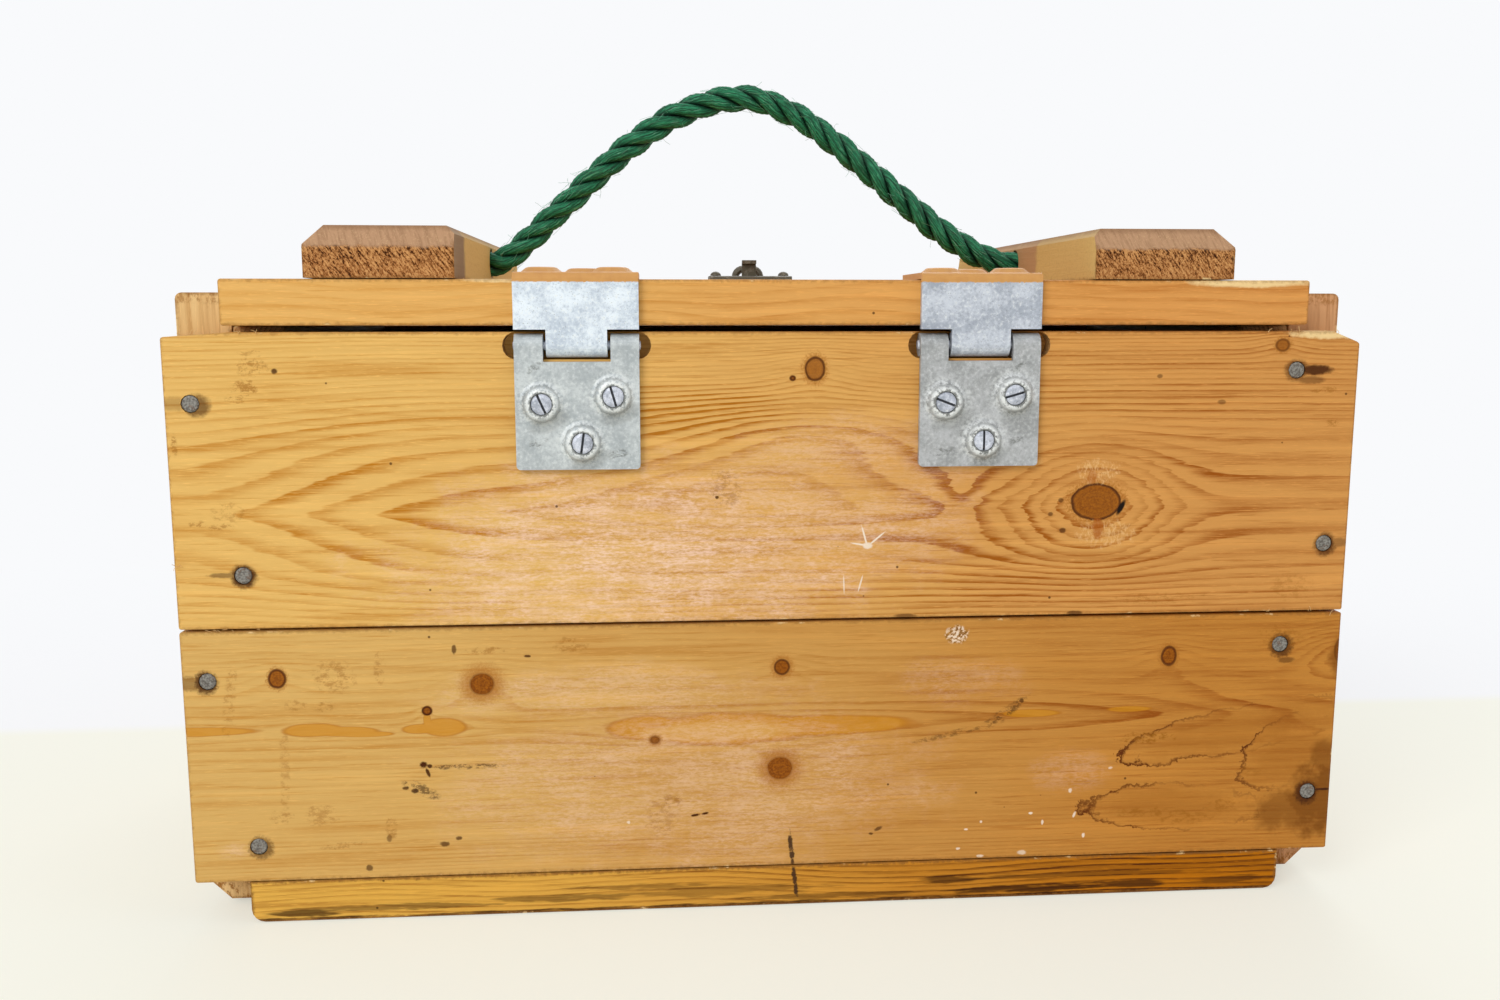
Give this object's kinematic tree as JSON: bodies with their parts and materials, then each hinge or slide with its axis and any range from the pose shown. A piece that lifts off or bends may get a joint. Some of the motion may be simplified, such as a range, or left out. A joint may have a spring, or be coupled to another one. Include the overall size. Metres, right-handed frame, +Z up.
{
  "type": "wooden military crate",
  "caption": "Nailed pine box with upright corner cleats, a lid on strap hinges, battens that carry a rope handle, and a wire-bail toggle latch.",
  "frame": {"origin": "middle of the underside of the middle bottom board", "axes": "+X along the crate, to the right when looking at the hinge side; -Y towards the hinge side, +Y towards the latch side; +Z up"},
  "size_m": [0.45, 0.2481, 0.3333],
  "materials": {
    "pine": "oiled pine, worn",
    "orange_pine": "oiled pine, darker",
    "weathered_pine": "bare, weathered",
    "galvanised_steel": "galvanised, mottled",
    "nail_steel": "dull",
    "olive_painted_steel": "worn paint",
    "green_rope": "three-strand rope, dusty"
  },
  "bodies": {
    "box": {"front_bottom_board": "orange_pine", "front_left_cleat": "pine", "front_lower_board": "pine", "front_right_cleat": "pine", "front_upper_board": "pine", "latch_base": "olive_painted_steel", "latch_lever_pin": "olive_painted_steel", "latch_screw_left_lower": "olive_painted_steel", "latch_screw_left_upper": "olive_painted_steel", "latch_screw_right_lower": "olive_painted_steel", "latch_screw_right_upper": "olive_painted_steel", "left_end_lower_board": "pine", "left_end_upper_board": "pine", "left_hinge_lower_leaf": "galvanised_steel", "left_hinge_lower_left_screw": "galvanised_steel", "left_hinge_lower_middle_screw": "galvanised_steel", "left_hinge_lower_right_screw": "galvanised_steel", "left_hinge_pin": "galvanised_steel", "middle_bottom_board": "orange_pine", "rear_bottom_board": "orange_pine", "rear_left_cleat": "pine", "rear_lower_board": "pine", "rear_nail_left_lower_inner": "nail_steel", "rear_nail_left_lower_outer": "nail_steel", "rear_nail_left_upper_inner": "nail_steel", "rear_nail_left_upper_outer": "nail_steel", "rear_nail_right_lower_inner": "nail_steel", "rear_nail_right_lower_outer": "nail_steel", "rear_nail_right_upper_inner": "nail_steel", "rear_nail_right_upper_outer": "nail_steel", "rear_right_cleat": "pine", "rear_upper_board": "pine", "right_end_lower_board": "pine", "right_end_upper_board": "pine", "right_hinge_lower_leaf": "galvanised_steel", "right_hinge_lower_left_screw": "galvanised_steel", "right_hinge_lower_middle_screw": "galvanised_steel", "right_hinge_lower_right_screw": "galvanised_steel", "right_hinge_pin": "galvanised_steel"},
    "lid": {"front_lid_board": "pine", "keeper_screw_left": "olive_painted_steel", "keeper_screw_right": "olive_painted_steel", "latch_keeper": "olive_painted_steel", "left_batten": "weathered_pine", "left_hinge_upper_leaf": "galvanised_steel", "left_hinge_upper_left_screw": "galvanised_steel", "left_hinge_upper_middle_screw": "galvanised_steel", "left_hinge_upper_right_screw": "galvanised_steel", "rear_lid_board": "pine", "right_batten": "weathered_pine", "right_hinge_upper_leaf": "galvanised_steel", "right_hinge_upper_left_screw": "galvanised_steel", "right_hinge_upper_middle_screw": "galvanised_steel", "right_hinge_upper_right_screw": "galvanised_steel"},
    "handle": {"rope_handle": "green_rope"},
    "lever": {"latch_lever": "olive_painted_steel"},
    "bail": {"latch_bail": "olive_painted_steel"}
  },
  "joints": [
    {"name": "lid_hinge", "type": "hinge", "parent": "box", "child": "lid", "pos_m": [0, -0.1092, 0.2211], "axis": [1, 0, 0], "range_deg": [0, 100]},
    {"name": "handle_swing", "type": "hinge", "parent": "lid", "child": "handle", "pos_m": [0, 0, 0.2549], "axis": [1, 0, 0], "range_deg": [-75, 75]},
    {"name": "lever_turn", "type": "hinge", "parent": "box", "child": "lever", "pos_m": [0.004, 0.1195, 0.178], "axis": [1, 0, 0], "range_deg": [0, 140]},
    {"name": "bail_turn", "type": "hinge", "parent": "lever", "child": "bail", "pos_m": [0.004, 0.12, 0.166], "axis": [1, 0, 0], "range_deg": [-155, 0]}
  ],
  "couplings": [
    {"joint": "bail_turn", "follows": "lever_turn", "ratio": -1.1}
  ]
}
